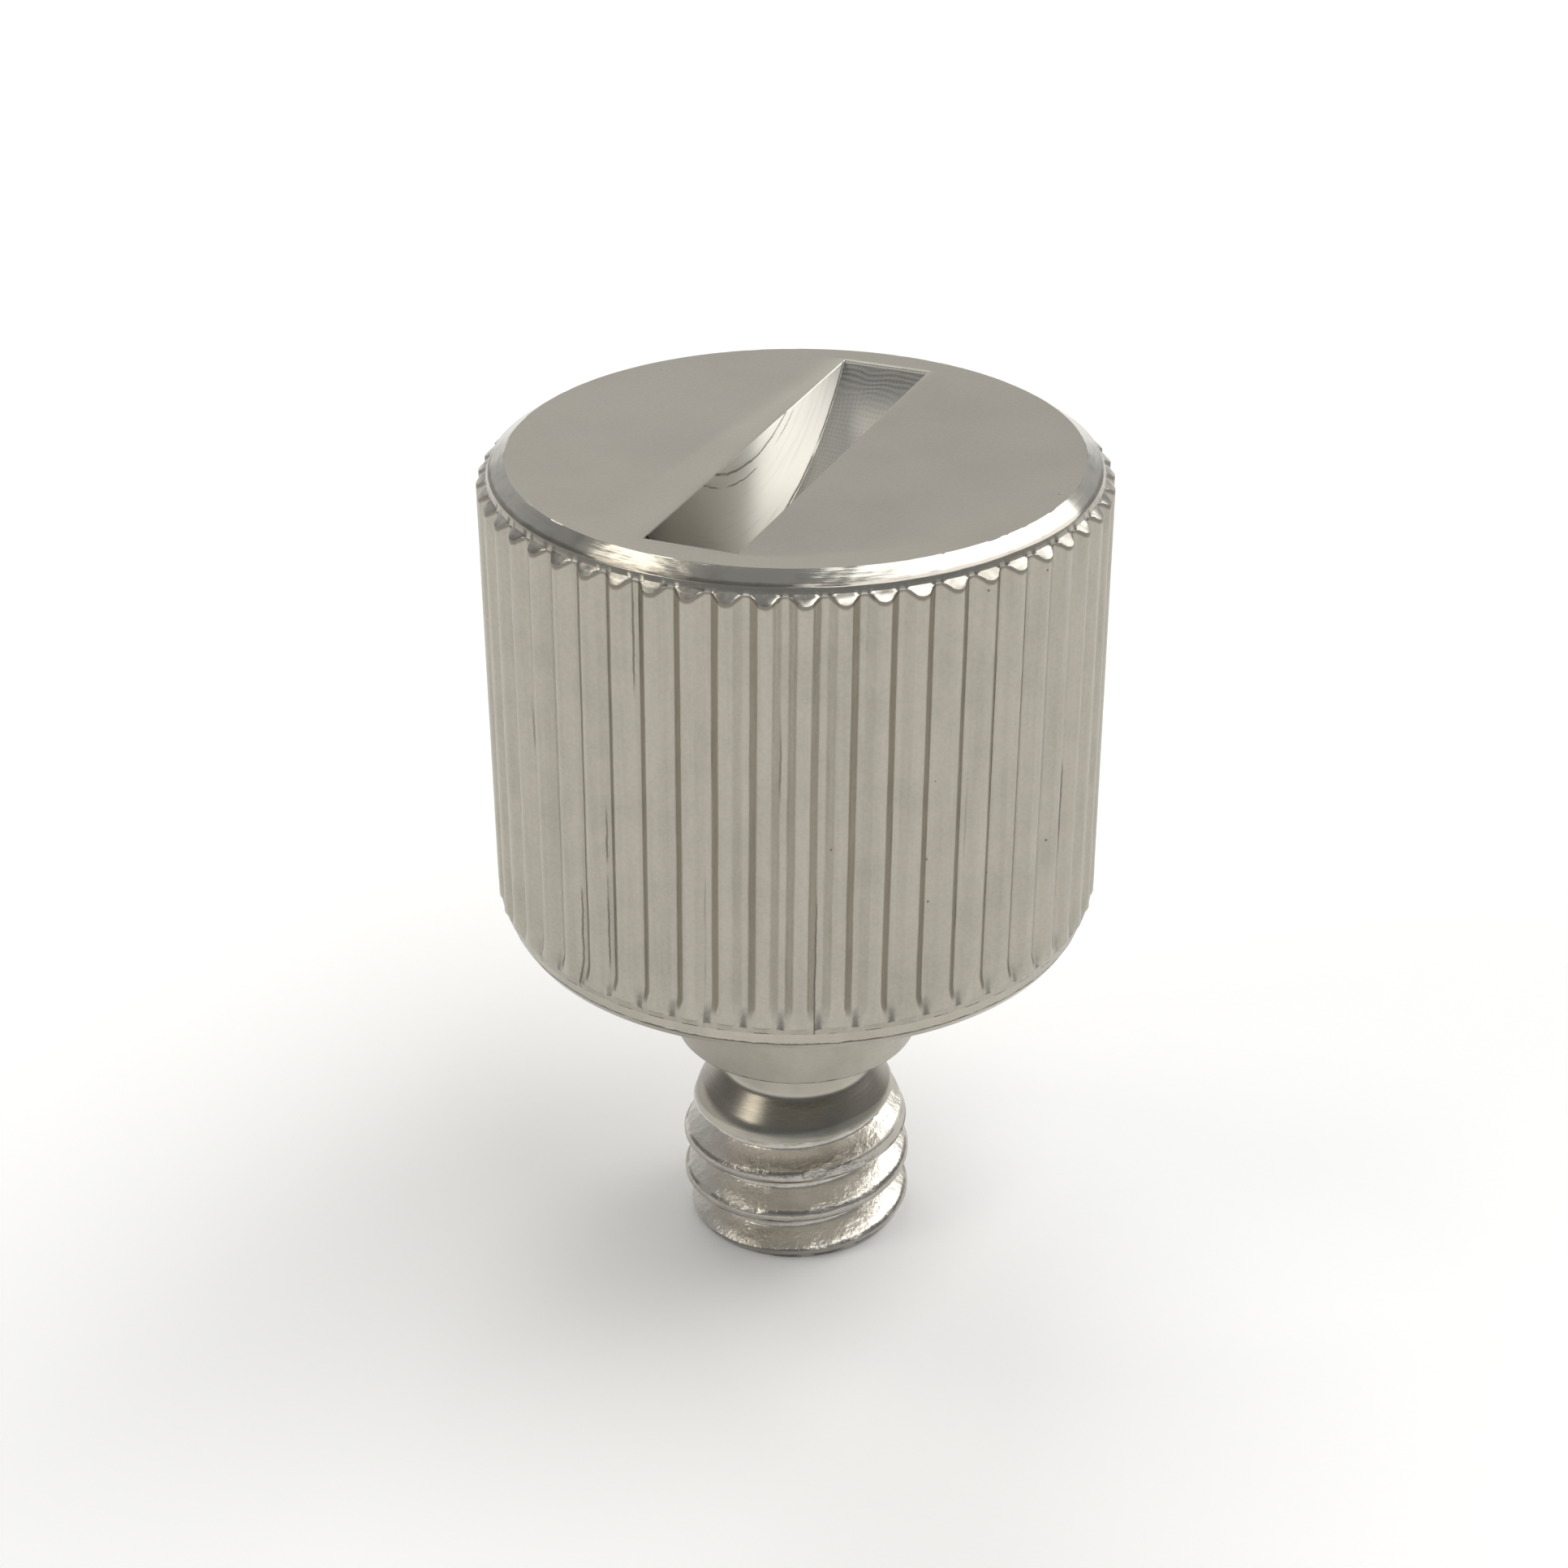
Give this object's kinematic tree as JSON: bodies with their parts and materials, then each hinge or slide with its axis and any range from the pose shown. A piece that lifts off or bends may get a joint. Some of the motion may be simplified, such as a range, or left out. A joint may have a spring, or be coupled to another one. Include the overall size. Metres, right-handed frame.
{
  "type": "knurled thumb screw",
  "caption": "Slotted thumb screw with a tall straight-knurled round head, a plain boss and a short coarse thread.",
  "frame": {"origin": "on the screw's axis, in the plane of the thread's tip face", "axes": "+Z along the axis from the tip to the slotted head; the driving slot runs along Y"},
  "size_m": [0.0154, 0.0154, 0.0222],
  "materials": {
    "plated_metal": "dull nickel plating over turned and knurled metal"
  },
  "bodies": {
    "root": {"thumb_screw": "plated_metal"}
  },
  "joints": []
}
